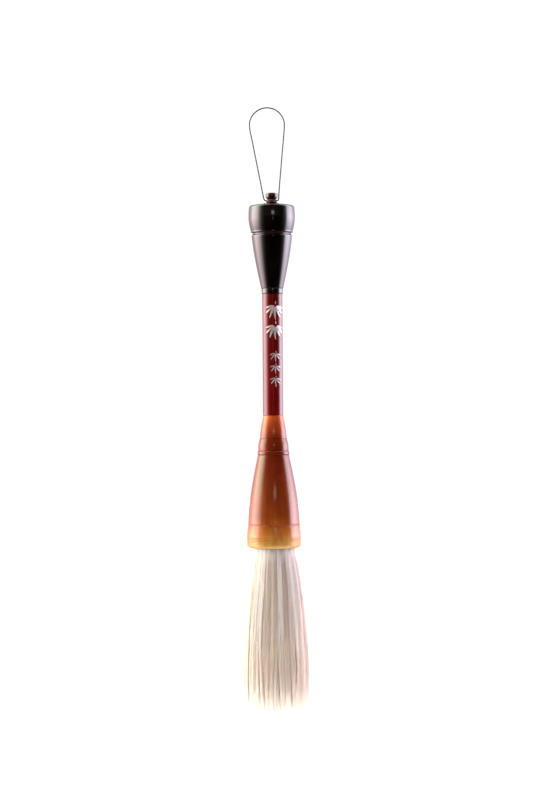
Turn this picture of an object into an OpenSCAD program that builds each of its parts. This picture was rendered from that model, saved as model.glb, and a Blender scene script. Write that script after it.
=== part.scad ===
// Large hanging calligraphy brush: cord loop, turned horn tail, lacquered
// shaft, horn ferrule and a bound tuft of goat hair. The hang point is the
// origin, +Z is up, and the brush hangs straight down from it.

/* [Finial] */
// Diameter of the button on top of the tail
button_d = 10.4; // [9:0.1:11]
// Height of the button above its neck
button_h = 6.1; // [5.5:0.1:7]
// Diameter of the neck that the cord is tied round
neck_d = 7.1; // [6:0.1:7.3]
// Height of that neck
neck_h = 2.8; // [2.8:0.1:4]

/* [Tail] */
// Widest diameter of the tail
tail_d = 39.8; // [34:0.2:46]
// Height of the rounded tail head
head_h = 25.6; // [22:0.2:30]
// Diameter of the tail at the groove under its head
waist_d = 35.2; // [30:0.2:36]
// Height of the spacer seen in that groove
spacer_h = 1.4; // [1:0.1:3]
// Height of the tapered part of the tail
cone_h = 46.1; // [38:0.1:56]
// Height of the small collar between tail and shaft
tail_collar_h = 4.7; // [3:0.1:8]

/* [Shaft] */
// Diameter of the lacquered shaft
shaft_d = 17.6; // [16:0.1:19]
// Visible length of the shaft
shaft_h = 104; // [90:1:140]
// Depth of the engraved leaves and of their silver filling
inlay_t = 0.3; // [0.2:0.05:0.5]
// Turn of the leaves away from the front of the shaft, in degrees
inlay_turn = 17; // [-40:1:40]

/* [Ferrule] */
// Height of the slim upper collar
collar_h = 20; // [16:0.5:26]
// Height of the bulged band
band_h = 10.5; // [8:0.1:14]
// Height of the narrow ring under the band
ring_h = 3.4; // [2:0.1:5]
// Height of the flared cup
cup_h = 59.5; // [50:0.5:70]
// Lower diameter of the cup
cup_d = 44.6; // [43:0.2:48]
// Thickness of the dark line let in above the rim
line_h = 0.8; // [0.5:0.1:1.5]
// Height of the pale horn rim
rim_h = 19; // [18:0.5:24]
// Widest diameter of the rim
rim_d = 46.8; // [45:0.2:50]

/* [Hair] */
// Free length of the tuft, from the mouth to its longest tips
hair_h = 146.2; // [110:0.2:160]
// Length by which the inner hair stands out past the outer hair
tip_h = 16; // [8:1:24]
// Widest diameter of the tuft
hair_d = 58.4; // [48:0.2:62]

/* [Hidden] */
$fn = 96;
// Free route of the cord loop as x and z, from foot to foot, seen from the front
route = [
    [-5.6, -78.6], [-6.2, -77.9], [-6.7, -76.8], [-7.1, -74.8], [-9.2, -64],
    [-11.4, -52.5], [-14, -39], [-16.4, -26.5], [-18.2, -17.5], [-18.3, -11.4],
    [-16.5, -6.5], [-13.1, -2.5], [-8.6, 0.1], [-3.5, 1], [1.6, 0.1],
    [6.1, -2.5], [9.5, -6.5], [11.3, -11.4], [11.3, -17], [10.4, -27],
    [9.4, -38], [8.3, -50], [7.2, -62], [6.3, -73], [6.2, -76],
    [5.9, -77.6], [5.6, -78.6]
];
cord_d = 1.2;           // diameter of the cord
cord_sides = 8;
ring_steps = 3;         // rings per span of the route
glue = 0.05;            // radial room for glue round a peg
run = 0.1;              // radial clearance of the noose on the neck

neck_z = -78;           // underside of the button
tail_z = neck_z - neck_h;
waist_z = tail_z - head_h;
cone_z = waist_z - spacer_h;
tail_collar_z = cone_z - cone_h;
shaft_z = tail_collar_z - tail_collar_h;
collar_z = shaft_z - shaft_h;
band_z = collar_z - collar_h;
ring_z = band_z - band_h;
cup_z = ring_z - ring_h;
line_z = cup_z - cup_h;
rim_z = line_z - line_h;
mouth_z = rim_z - rim_h;
tip_z = mouth_z - hair_h;

peg_r = 2.6;            // finial peg in the tail head
peg_h = 14;
pin_r = 3.5;            // pin through the spacer
pin_h = 26;
dowel_r = 5;            // dowels into both ends of the shaft
dowel_in = 24;          // how deep a dowel enters the shaft
tail_dowel_up = 16;     // how far it goes up into the tail
cup_dowel_in = 22;      // how far the lower one goes into the cup
tail_collar_r = 9.2;
cone_end_r = 9.6;
collar_top_r = 8.7;
collar_end_r = 11.6;
band_top_r = 11.9;
band_end_r = 13.1;
ring_r = 13.9;
cup_top_r = 13.6;
socket_r = 18.6;        // socket in the cup for the bound root
socket_h = 16.2;        // its depth above the rim line
bore_r = 19.6;          // bore of the rim
resin_h = 2;
ball_r = 17;            // rounded head of the tuft, which it bends about
core_r = 13;            // radius of the inner hair
straight_h = 8;         // straight stretch of the tuft in the mouth
thread_d = 0.9;
thread_turns = 8;
steps = 16;             // steps along a curved outline

// Outline helpers, all in the r-z half plane
function mix(a, b, t) = a + (b - a) * t;
function bow(t, bulge) = (1 - bulge) * (1 - t) + bulge * cos(90 * t);
function flare(t, deg) = sin(deg * t) / sin(deg);
function arc(r, z, rad, from, to, n = 6) =
    [for (i = [0:n]) let (a = mix(from, to, i / n)) [r + rad * cos(a), z + rad * sin(a)]];

module turned(outline) {
    rotate_extrude() polygon(outline);
}

module bar(r, z_low, z_high) {
    translate([0, 0, z_low]) cylinder(r = r, h = z_high - z_low);
}

// Smooth curve through the hand-set route, and the tube swept along it
function curve_at(a, b, c, d, t) =
    0.5 * (2 * b + (c - a) * t + (2 * a - 5 * b + 4 * c - d) * t * t
    + (3 * b - a - 3 * c + d) * t * t * t);
function clamp_at(i) = route[max(0, min(len(route) - 1, i))];
function cord_path() = concat(
    [for (i = [0:len(route) - 2], k = [0:ring_steps - 1])
        curve_at(clamp_at(i - 1), clamp_at(i), clamp_at(i + 1), clamp_at(i + 2), k / ring_steps)],
    [route[len(route) - 1]]);
function heading(path, i) =
    let (d = path[min(len(path) - 1, i + 1)] - path[max(0, i - 1)]) d / norm(d);
function cord_ring(path, i) =
    let (d = heading(path, i))
    [for (k = [0:cord_sides - 1])
        let (a = 360 * k / cord_sides, out = cord_d / 2 * cos(a))
        [path[i][0] + out * d[1], cord_d / 2 * sin(a), path[i][1] - out * d[0]]];

module hanging_cord() {
    path = cord_path();
    n = len(path);
    skin = [for (i = [0:n - 2], k = [0:cord_sides - 1])
        let (j = (k + 1) % cord_sides, a = i * cord_sides, b = a + cord_sides)
        [a + k, a + j, b + j, b + k]];
    color("#3b2a26")
    polyhedron(
        points = [for (i = [0:n - 1]) each cord_ring(path, i)],
        faces = concat(skin,
            [[for (k = [cord_sides - 1:-1:0]) k]],
            [[for (k = [0:cord_sides - 1]) (n - 1) * cord_sides + k]]));
}

module cord_turn(r, z, d) {
    translate([0, 0, z]) rotate_extrude() translate([r, 0]) circle(d = d, $fn = 32);
}

module cord_noose() {
    r = neck_d / 2 + run + cord_d / 2;
    color("#3b2a26") {
        cord_turn(r, neck_z - 0.45, cord_d);
        cord_turn(r, neck_z - 0.5 - cord_d, cord_d);
    }
}

// A small overhand knot behind the neck with its two short ends
module cord_knot() {
    knot_r = 1.4;
    knot_y = neck_d / 2 + run + cord_d + knot_r + 0.05;
    color("#3b2a26")
    translate([0, knot_y, neck_z - 1])
    union() {
        sphere(r = knot_r);
        for (side = [-1, 1])
            rotate([-60, 0, side * 35]) cylinder(d = cord_d, h = 5);
    }
}

module finial_button() {
    r = button_d / 2;
    top = neck_z + button_h;
    waist = neck_d / 2;
    color("#2a1510")
    turned(concat(
        [[0, top], [r - 1.8, top]],
        arc(r - 1.3, top - 1.3, 1.3, 75, 0),
        arc(r - 2.6, neck_z + button_h / 2, 2.6, 0, -60),
        [[waist, neck_z], [waist, tail_z + 0.5], [waist + 0.6, tail_z]],
        [[peg_r, tail_z], [peg_r, tail_z - peg_h], [0, tail_z - peg_h]]));
}

module tail_head() {
    r = tail_d / 2;
    waist = waist_d / 2;
    edge = 2;
    widest_z = tail_z - 14;
    color("#17100f")
    turned(concat(
        [[peg_r + glue, tail_z], [waist * 0.55, tail_z - 0.8]],
        arc(r - edge, tail_z - 2.1 - edge, edge, 80, 0),
        [for (i = [1:steps]) let (t = i / steps)
            [mix(waist, r, bow(t, 0.5)), mix(widest_z, waist_z + 1, t)]],
        arc(waist - 0.8, waist_z + 0.8, 0.8, 0, -90, 4),
        [[pin_r + glue, waist_z], [pin_r + glue, waist_z + pin_h / 2 - 3]],
        [[0, waist_z + pin_h / 2 - 3], [0, tail_z - peg_h]],
        [[peg_r + glue, tail_z - peg_h]]));
}

module tail_spacer() {
    r = waist_d / 2 - 0.7;
    color("#2b1b18")
    difference() {
        bar(r, cone_z, waist_z);
        bar(pin_r + glue, cone_z - 1, waist_z + 1);
    }
}

module tail_pin() {
    color("#c9a877")
    bar(pin_r, waist_z + pin_h / 2 - 3 - pin_h, waist_z + pin_h / 2 - 3);
}

module tail_cone() {
    waist = waist_d / 2;
    shoulder = 1.2;
    pin_low = waist_z + pin_h / 2 - 3 - pin_h;
    color("#17100f")
    turned(concat(
        [[pin_r + glue, cone_z]],
        arc(waist - shoulder, cone_z - shoulder, shoulder, 90, 0, 4),
        [for (i = [1:steps]) let (t = i / steps)
            [mix(cone_end_r, waist, bow(t, 0.4)), mix(cone_z - shoulder, tail_collar_z + 0.3, t)]],
        [[cone_end_r - 0.3, tail_collar_z], [dowel_r + glue, tail_collar_z]],
        [[dowel_r + glue, tail_collar_z + tail_dowel_up], [0, tail_collar_z + tail_dowel_up]],
        [[0, pin_low], [pin_r + glue, pin_low]]));
}

module tail_collar() {
    color("#17100f")
    turned([
        [dowel_r + glue, tail_collar_z], [tail_collar_r - 0.2, tail_collar_z],
        [tail_collar_r + 0.1, tail_collar_z - 0.3], [tail_collar_r, shaft_z + 0.3],
        [tail_collar_r - 0.3, shaft_z], [dowel_r + glue, shaft_z]
    ]);
}

module tail_dowel() {
    color("#c9a877")
    bar(dowel_r, shaft_z - dowel_in, tail_collar_z + tail_dowel_up);
}

// One pointed leaf, its stalk end at the origin and its tip at +Y
module leaf(length, width) {
    r = (length * length + width * width) / (4 * width);
    translate([0, length / 2])
    intersection() {
        translate([r - width / 2, 0]) circle(r = r);
        translate([width / 2 - r, 0]) circle(r = r);
    }
}

// A fan of separate leaves hanging below a short stalk, the middle ones longest,
// each made smaller by room all round
module spray(size, leaves, room) {
    spread = 150;
    gap = 0.08 * size + room;
    translate([0, gap]) leaf(0.22 * size - 2 * room, 0.07 * size - 2 * room);
    for (i = [0:leaves - 1])
        let (a = spread * (i / (leaves - 1) - 0.5), length = size * (0.6 + 0.35 * cos(a)))
        rotate(180 + a) translate([0, gap]) leaf(length - 2 * room, 0.17 * length - 2 * room);
}

// The leaf pattern between two radii
module leaf_layer(low_r, high_r, room) {
    big = 12;
    small = 6.8;
    intersection() {
        difference() {
            bar(high_r, collar_z + 20, shaft_z - 5);
            bar(low_r, collar_z + 19, shaft_z - 4);
        }
        rotate([0, 0, inlay_turn]) rotate([90, 0, 0]) linear_extrude(high_r + 1) {
            for (z = [10, 27]) translate([0, shaft_z - z]) spray(big, 7, room);
            for (z = [51, 61.5, 72]) translate([0, shaft_z - z]) spray(small, 5, room);
        }
    }
}

module shaft() {
    r = shaft_d / 2;
    color("#7d0f14")
    difference() {
        bar(r, collar_z, shaft_z);
        bar(dowel_r + glue, shaft_z - dowel_in, shaft_z + 1);
        bar(dowel_r + glue, collar_z - 1, collar_z + dowel_in);
        leaf_layer(r - inlay_t, r + 1, 0);
    }
}

module leaf_inlay() {
    r = shaft_d / 2;
    color("#d8d2cc") leaf_layer(r - inlay_t + glue, r, glue);
}

module ferrule_dowel() {
    color("#c9a877")
    bar(dowel_r, cup_z - cup_dowel_in, collar_z + dowel_in);
}

module ferrule_collar() {
    color("#a3602a")
    turned(concat(
        [[dowel_r + glue, collar_z], [collar_top_r - 0.3, collar_z]],
        [for (i = [0:steps]) let (t = i / steps)
            [mix(collar_top_r, collar_end_r, flare(t, 75)), mix(collar_z - 0.3, band_z + 0.3, t)]],
        [[collar_end_r - 0.3, band_z], [dowel_r + glue, band_z]]));
}

module ferrule_band() {
    color("#9a5526")
    turned(concat(
        [[dowel_r + glue, band_z], [band_top_r - 0.4, band_z]],
        [for (i = [0:steps]) let (t = i / steps)
            [mix(band_top_r, band_end_r, t) + 0.5 * sin(180 * t), mix(band_z - 0.2, ring_z + 0.2, t)]],
        [[band_end_r - 0.4, ring_z], [dowel_r + glue, ring_z]]));
}

module ferrule_ring() {
    edge = ring_h / 2 - 0.3;
    color("#9a5526")
    turned(concat(
        [[dowel_r + glue, ring_z], [ring_r - edge, ring_z]],
        arc(ring_r - edge, ring_z - edge, edge, 75, 0),
        arc(ring_r - edge, cup_z + edge, edge, 0, -75),
        [[ring_r - edge, cup_z], [dowel_r + glue, cup_z]]));
}

module ferrule_cup() {
    low_r = cup_d / 2;
    color("#a3602a")
    turned(concat(
        [[dowel_r + glue, cup_z], [cup_top_r - 0.4, cup_z]],
        [for (i = [0:steps * 2]) let (t = i / (steps * 2))
            [mix(cup_top_r, low_r, flare(t, 82)), mix(cup_z - 0.3, line_z + 0.2, t)]],
        [[low_r - 0.2, line_z], [socket_r, line_z], [socket_r, line_z + socket_h]],
        [[0, line_z + socket_h], [0, cup_z - cup_dowel_in]],
        [[dowel_r + glue, cup_z - cup_dowel_in]]));
}

module rim_line() {
    color("#4a2412")
    difference() {
        bar(cup_d / 2 - 0.05, rim_z, line_z);
        bar(bore_r, rim_z - 1, line_z + 1);
    }
}

// Pale horn rim: five fine turned grooves above a rounded lip
module ferrule_rim() {
    top_r = cup_d / 2;
    low_r = rim_d / 2;
    lip = 3;
    inner = 1.2;
    pitch = 1.3;
    grooves = 5;
    grooved_z = mouth_z + lip + pitch * grooves;
    color("#cf9a4a")
    turned(concat(
        [[bore_r, rim_z], [top_r - 0.2, rim_z], [top_r, rim_z - 0.2]],
        [for (i = [1:8]) let (t = i / 8)
            [mix(top_r, low_r, flare(t, 80)), mix(rim_z - 0.2, grooved_z, t)]],
        [for (i = [0:grooves - 1]) let (z = grooved_z - pitch * i)
            each [[low_r, z - 0.5], [low_r - 0.2, z - 0.75], [low_r, z - 1]]],
        arc(low_r - lip, mouth_z + lip, lip, 0, -90),
        arc(bore_r + inner, mouth_z + inner, inner, -90, -180, 4)));
}

module root_resin() {
    top = line_z + socket_h;
    color("#6b4a22") bar(socket_r - glue, top - resin_h, top);
}

// Bound root of the hair, hollowed below for the rounded head of the tuft
module hair_root() {
    top = line_z + socket_h - resin_h;
    low = mouth_z + straight_h;
    room = ball_r + 0.4;
    r = socket_r - 0.5;
    color("#d9c9b0")
    turned(concat(
        [[0, top], [r, top], [r, low]],
        arc(0, mouth_z, room, asin(straight_h / room), 90, 12)));
}

module root_binding() {
    r = socket_r - 0.5 + thread_d / 2;
    color("#b23a2a")
    for (i = [0:thread_turns - 1])
        cord_turn(r, mouth_z + 10 + i * (thread_d + 0.05), thread_d);
}

module hair_core() {
    top = mouth_z + sqrt(ball_r * ball_r - core_r * core_r);
    end = mouth_z - hair_h + tip_h;
    color("#efe6da")
    turned(concat(
        arc(0, mouth_z, ball_r, 90, acos(core_r / ball_r), 8),
        [for (i = [0:steps - 1]) let (a = 90 * i / steps)
            [core_r * cos(a), end - tip_h * sin(a)]],
        [[0, tip_z]]));
}

module hair_mantle() {
    r = hair_d / 2;
    end = mouth_z - hair_h + tip_h;
    turn_z = end + 12;
    color("#f3ece2")
    turned(concat(
        [[core_r, end]],
        arc(0, mouth_z, ball_r, acos(core_r / ball_r), 0, 6),
        [for (i = [0:steps]) let (t = i / steps)
            [mix(ball_r + 0.3, r, flare(t, 90)), mix(mouth_z - straight_h, turn_z, t)]],
        [for (i = [1:8]) let (a = 90 * i / 8)
            [mix(core_r, r, cos(a)), mix(turn_z, end, sin(a))]]));
}

hanging_cord();
cord_noose();
cord_knot();
finial_button();
tail_head();
tail_spacer();
tail_pin();
tail_cone();
tail_collar();
tail_dowel();
shaft();
leaf_inlay();
ferrule_dowel();
ferrule_collar();
ferrule_band();
ferrule_ring();
ferrule_cup();
rim_line();
ferrule_rim();
root_resin();
hair_root();
root_binding();
hair_core();
hair_mantle();
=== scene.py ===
import math

import bpy
import numpy as np
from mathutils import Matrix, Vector


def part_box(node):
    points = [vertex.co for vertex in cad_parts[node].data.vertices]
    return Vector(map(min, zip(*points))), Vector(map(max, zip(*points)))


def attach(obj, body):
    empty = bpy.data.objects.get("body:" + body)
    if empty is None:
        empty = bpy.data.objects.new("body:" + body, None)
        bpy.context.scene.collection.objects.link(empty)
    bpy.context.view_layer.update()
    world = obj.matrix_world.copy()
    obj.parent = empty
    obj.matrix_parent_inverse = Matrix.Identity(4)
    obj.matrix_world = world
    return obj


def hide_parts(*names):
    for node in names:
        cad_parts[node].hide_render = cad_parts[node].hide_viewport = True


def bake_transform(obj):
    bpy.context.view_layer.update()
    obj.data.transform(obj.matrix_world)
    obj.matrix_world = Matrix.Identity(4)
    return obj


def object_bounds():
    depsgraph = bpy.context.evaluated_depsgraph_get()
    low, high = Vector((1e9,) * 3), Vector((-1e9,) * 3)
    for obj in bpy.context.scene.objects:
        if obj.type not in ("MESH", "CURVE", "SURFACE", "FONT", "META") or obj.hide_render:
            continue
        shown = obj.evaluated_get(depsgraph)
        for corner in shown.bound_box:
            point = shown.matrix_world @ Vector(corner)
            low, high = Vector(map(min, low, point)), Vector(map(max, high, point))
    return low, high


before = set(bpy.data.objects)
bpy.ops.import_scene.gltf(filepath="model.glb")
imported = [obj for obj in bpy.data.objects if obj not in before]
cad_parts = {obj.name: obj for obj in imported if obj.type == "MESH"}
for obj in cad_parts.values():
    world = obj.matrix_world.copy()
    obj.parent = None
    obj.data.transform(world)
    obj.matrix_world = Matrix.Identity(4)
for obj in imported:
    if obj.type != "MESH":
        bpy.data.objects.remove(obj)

cadBox = [list(corner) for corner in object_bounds()]
mm = 0.001


# heights and radii of the parts, all read from the frame
def topOf(node):
    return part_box(node)[1].z


def lowOf(node):
    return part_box(node)[0].z


def radiusOf(node):
    low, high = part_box(node)
    return (high.x - low.x) / 2


def spanOf(node):       # top, bottom and radius of a CAD part
    return topOf(node), lowOf(node), radiusOf(node)


def mix(a, b, t):
    return a + (b - a) * t


def bow(t, bulge):      # 1 at t = 0 falling to 0 at t = 1, more rounded with more bulge
    return (1 - bulge) * (1 - t) + bulge * math.cos(math.pi / 2 * t)


def flare(t, degrees):  # 0 rising to 1, quick at first and flat at the end
    return math.sin(math.radians(degrees * t)) / math.sin(math.radians(degrees))


def smooth(t):
    t = min(max(t, 0.0), 1.0)
    return t * t * (3 - 2 * t)


# ---- camera
cameraSetup = {
    "distance": 2.095,      # from the lens to the brush's axis
    "height": -0.2494,      # level with the middle of the shaft
    "aside": -0.0056,       # a little to the left of the axis
    "roll": 0.42,           # degrees, so that the hair hangs slightly to the right
    "lens": 110,            # mm on a 36 mm sensor
}


def makeCamera(setup):
    data = bpy.data.cameras.new("studioCamera")
    data.lens = setup["lens"]
    data.sensor_width = 36
    data.clip_end = 50
    camera = bpy.data.objects.new("studioCamera", data)
    bpy.context.scene.collection.objects.link(camera)
    camera.location = (setup["aside"], -setup["distance"], setup["height"])
    camera.rotation_euler = (math.radians(90), math.radians(setup["roll"]), 0)
    bpy.context.scene.camera = camera


makeCamera(cameraSetup)


# ---- mesh helpers
def newObject(name, vertices, faces, sharpAngle=32):
    mesh = bpy.data.meshes.new(name)
    mesh.from_pydata(vertices, [], faces)
    mesh.validate()
    mesh.polygons.foreach_set("use_smooth", [True] * len(mesh.polygons))
    if sharpAngle:
        mesh.set_sharp_from_angle(angle=math.radians(sharpAngle))
    piece = bpy.data.objects.new(name, mesh)
    bpy.context.scene.collection.objects.link(piece)
    return piece


turnSides = 128


def turnMesh(name, outline):
    # spins a closed outline of (radius, height) points round the brush's axis;
    # points on the axis become one vertex each
    sides = turnSides
    vertices = []
    rows = []
    for radius, height in outline:
        if radius < 1e-7:
            rows.append([len(vertices)] * sides)
            vertices.append((0.0, 0.0, height))
        else:
            first = len(vertices)
            for k in range(sides):
                a = 2 * math.pi * k / sides
                vertices.append((radius * math.cos(a), radius * math.sin(a), height))
            rows.append(list(range(first, first + sides)))
    faces = []
    closed = outline[0][0] > 1e-7
    pairs = list(zip(rows, rows[1:])) + ([(rows[-1], rows[0])] if closed else [])
    for upper, lower in pairs:
        for k in range(sides):
            j = (k + 1) % sides
            corners = [upper[k], lower[k], lower[j], upper[j]]
            ring = [c for i, c in enumerate(corners) if c != corners[i - 1]]
            if len(ring) > 2:
                faces.append(ring)
    return newObject(name, vertices, faces)


def framesAlong(path):
    # each point of a path with two directions across it that turn as little as they can
    points = [Vector(p) for p in path]
    frames = []
    normal = None
    for i, p in enumerate(points):
        along = (points[min(len(points) - 1, i + 1)] - points[max(0, i - 1)]).normalized()
        if normal is None:
            normal = along.orthogonal().normalized()
        normal = (normal - along * normal.dot(along)).normalized()
        frames.append((p, normal, along.cross(normal)))
    return frames


def sweepTube(path, radius, sides):
    # vertices and faces of a closed round tube along a list of points
    count = len(path)
    vertices = []
    faces = []
    for p, normal, side in framesAlong(path):
        for k in range(sides):
            a = 2 * math.pi * k / sides
            vertices.append(p + (normal * math.cos(a) + side * math.sin(a)) * radius)
    for i in range(count - 1):
        for k in range(sides):
            j = (k + 1) % sides
            a, b = i * sides, (i + 1) * sides
            faces.append([a + k, a + j, b + j, b + k])
    faces.append([k for k in range(sides - 1, -1, -1)])
    faces.append([(count - 1) * sides + k for k in range(sides)])
    return vertices, faces


def joinShapes(name, shapes, sharpAngle=40):
    vertices = []
    faces = []
    for some, theirs in shapes:
        first = len(vertices)
        vertices += some
        faces += [[first + i for i in face] for face in theirs]
    return newObject(name, vertices, faces, sharpAngle)


def curveThrough(points, step):
    # Catmull-Rom curve through the points, resampled to even steps
    points = [Vector(p) for p in points]
    ends = [points[0] * 2 - points[1]] + points + [points[-1] * 2 - points[-2]]
    fine = []
    for a, b, c, d in zip(ends, ends[1:], ends[2:], ends[3:]):
        for k in range(12):
            t = k / 12
            fine.append(0.5 * (2 * b + (c - a) * t + (2 * a - 5 * b + 4 * c - d) * t * t
                               + (3 * b - a - 3 * c + d) * t * t * t))
    fine.append(points[-1])
    lengths = [0.0]
    for a, b in zip(fine, fine[1:]):
        lengths.append(lengths[-1] + (b - a).length)
    count = max(2, round(lengths[-1] / step))
    even = []
    i = 0
    for k in range(count + 1):
        want = lengths[-1] * k / count
        while i < len(lengths) - 2 and lengths[i + 1] < want:
            i += 1
        share = (want - lengths[i]) / max(lengths[i + 1] - lengths[i], 1e-12)
        even.append(fine[i].lerp(fine[i + 1], share))
    return even, lengths[-1]


def layCord(path, setup):
    # a laid cord: plies wound round the path, each a closed tube
    plies = setup["plies"]
    travelled = 0.0
    last = Vector(path[0])
    lines = [[] for _ in range(plies)]
    for p, normal, side in framesAlong(path):
        travelled += (p - last).length
        last = p
        for k in range(plies):
            a = 2 * math.pi * (k / plies + travelled / setup["layPitch"])
            lines[k].append(p + (normal * math.cos(a) + side * math.sin(a)) * setup["plyOffset"])
    return [sweepTube(line, setup["plyRadius"], setup["plySides"]) for line in lines]


# ---- cord: loop, noose and knot
cordSetup = {
    "diameter": 1.2 * mm,
    "plies": 3,
    "plySides": 7,
    "plyRadius": 0.31 * mm,
    "plyOffset": 0.29 * mm,
    "layPitch": 3.4 * mm,   # length of one turn of the lay
    "step": 0.42 * mm,
    "nooseTurns": 2,
    "knotSize": 0.62 * mm,
    "endLength": 5.5 * mm,
}
# the cord's free route as x and z in millimetres, from foot to foot
cordRoute = [
    (-5.6, -78.6), (-6.2, -77.9), (-6.7, -76.8), (-7.1, -74.8), (-9.2, -64),
    (-11.4, -52.5), (-14, -39), (-16.4, -26.5), (-18.2, -17.5), (-18.3, -11.4),
    (-16.5, -6.5), (-13.1, -2.5), (-8.6, 0.1), (-3.5, 1), (1.6, 0.1),
    (6.1, -2.5), (9.5, -6.5), (11.3, -11.4), (11.3, -17), (10.4, -27),
    (9.4, -38), (8.3, -50), (7.2, -62), (6.3, -73), (6.2, -76),
    (5.9, -77.6), (5.6, -78.6),
]


def makeLoop(setup):
    route = [(x * mm, 0.0, z * mm) for x, z in cordRoute]
    path, length = curveThrough(route, setup["step"])
    return joinShapes("cordLoop", layCord(path, setup)), path, length


def makeNoose(setup):
    low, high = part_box("cord_noose")
    ringRadius = (high.x - low.x) / 2 - setup["diameter"] / 2
    topZ = high.z - setup["diameter"] / 2
    lowZ = low.z + setup["diameter"] / 2
    turns = setup["nooseTurns"]
    steps = 90 * turns
    path = []
    for i in range(steps + 1):
        t = i / steps
        a = math.pi + 2 * math.pi * turns * t
        drop = smooth((t - 0.3) / 0.4)
        path.append((ringRadius * math.cos(a), ringRadius * math.sin(a), mix(topZ, lowZ, drop)))
    shapes = layCord(path, setup)
    for side in (-1, 1):    # the two short bridges from the feet of the loop into the noose
        foot = Vector((side * 5.3 * mm, 0, -78.65 * mm))
        joint = Vector((side * 4.6 * mm, -side * 1.4 * mm, topZ))
        bend = Vector((side * 5.1 * mm, -side * 0.7 * mm, (foot.z + topZ) / 2))
        bridge, _ = curveThrough([foot, bend, joint], setup["step"] * 0.7)
        shapes += layCord(bridge, setup)
    return joinShapes("cordNoose", shapes)


def makeKnot(setup):
    low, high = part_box("cord_knot")
    radius = 1.4 * mm
    centre = Vector((0, low.y + radius, low.z + radius))
    size = setup["knotSize"]
    path = []
    for i in range(72):
        t = 2 * math.pi * i / 72
        path.append(centre + size * Vector((math.sin(t) + 2 * math.sin(2 * t),
                                            math.cos(t) - 2 * math.cos(2 * t),
                                            -math.sin(3 * t))))
    path.append(path[0])
    shapes = layCord(path, setup)
    for side in (-1, 1):    # cut ends, standing off a little
        tip = centre + Vector((-side * 0.5, 0.78, 0.42)).normalized() * setup["endLength"]
        middle = (centre + tip) / 2 + Vector((0, 0, 0.3 * mm))
        end, _ = curveThrough([centre, middle, tip], setup["step"])
        shapes += layCord(end, setup)
    return joinShapes("cordKnot", shapes)


cordLoop, cordPath, cordLength = makeLoop(cordSetup)
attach(cordLoop, "loop")
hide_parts("hanging_cord")
cordNoose = makeNoose(cordSetup)
cordKnot = makeKnot(cordSetup)
for piece, node in ((cordNoose, "cord_noose"), (cordKnot, "cord_knot")):
    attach(piece, "noose")
    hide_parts(node)
print("cord: loop of", round(cordLength * 1000), "mm, noose and knot")


# ---- shader helpers
def addNode(tree, kind, inputs=None, **settings):
    node = tree.nodes.new("ShaderNode" + kind)
    for key, value in settings.items():
        setattr(node, key, value)
    for key, value in (inputs or {}).items():
        node.inputs[key].default_value = value
    return node


def newGroup(name, inputs, outputs):
    group = bpy.data.node_groups.new(name, "ShaderNodeTree")
    kinds = {"value": "NodeSocketFloat", "color": "NodeSocketColor", "vector": "NodeSocketVector"}
    for label, kind, default in inputs:
        socket = group.interface.new_socket(name=label, in_out="INPUT", socket_type=kinds[kind])
        socket.default_value = default
    for label, kind in outputs:
        group.interface.new_socket(name=label, in_out="OUTPUT", socket_type=kinds[kind])
    return group, group.nodes.new("NodeGroupInput"), group.nodes.new("NodeGroupOutput")


def placeGroup(tree, group, inputs):
    node = tree.nodes.new("ShaderNodeGroup")
    node.node_tree = group
    for key, value in inputs.items():
        node.inputs[key].default_value = value
    return node


def math2(tree, operation, a, b):
    node = addNode(tree, "Math", operation=operation)
    for index, value in enumerate((a, b)):
        if isinstance(value, (int, float)):
            node.inputs[index].default_value = value
        else:
            tree.links.new(value, node.inputs[index])
    return node.outputs[0]


def joinColors(tree, operation, first, second):
    # the first is a socket, the second a socket or a plain colour
    node = addNode(tree, "VectorMath", operation=operation)
    tree.links.new(first, node.inputs[0])
    if isinstance(second, tuple):
        node.inputs[1].default_value = second
    else:
        tree.links.new(second, node.inputs[1])
    return node.outputs[0]


def timesColor(tree, first, second):
    return joinColors(tree, "MULTIPLY", first, second)


def objectPlace(tree):
    return addNode(tree, "TexCoord").outputs["Object"]


def noiseOf(tree, vector, inputs, scale=None):
    node = addNode(tree, "TexNoise", inputs)
    tree.links.new(vector, node.inputs["Vector"])
    if scale is not None:
        tree.links.new(scale, node.inputs["Scale"])
    return node.outputs["Fac"]


def remap(tree, value, limits):
    node = addNode(tree, "MapRange", limits)
    tree.links.new(value, node.inputs[0])
    return node.outputs[0]


def between(tree, factor, first, second):
    node = addNode(tree, "Mix", data_type="FLOAT")
    for index, value in ((0, factor), (2, first), (3, second)):
        tree.links.new(value, node.inputs[index])
    return node.outputs[0]


def newMaterial(name, settings):
    material = bpy.data.materials.new(name)
    material.use_nodes = True
    tree = material.node_tree
    shader = tree.nodes["Principled BSDF"]
    for key, value in settings.items():
        shader.inputs[key].default_value = value
    return material, tree, shader


def makeStreaks():
    # long soft streaks along the brush's axis with cloudy patches: horn and lacquer
    group, given, result = newGroup("Streaks", [
        ("Across", "value", 300.0), ("Along", "value", 12.0), ("Clouds", "value", 40.0),
        ("Cloud Share", "value", 0.5)], [("Value", "value")])
    links = group.links
    place = objectPlace(group)
    scale = addNode(group, "CombineXYZ")
    for index, label in enumerate(("Across", "Across", "Along")):
        links.new(given.outputs[label], scale.inputs[index])
    stretched = timesColor(group, place, scale.outputs[0])
    streak = noiseOf(group, stretched, {"Scale": 1.0, "Detail": 5.0, "Roughness": 0.6})
    cloud = noiseOf(group, place, {"Detail": 3.0, "Roughness": 0.5, "Distortion": 0.4},
                    given.outputs["Clouds"])
    blend = between(group, given.outputs["Cloud Share"], streak, cloud)
    links.new(remap(group, blend, {"From Min": 0.32, "From Max": 0.68}), result.inputs["Value"])
    return group


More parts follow.
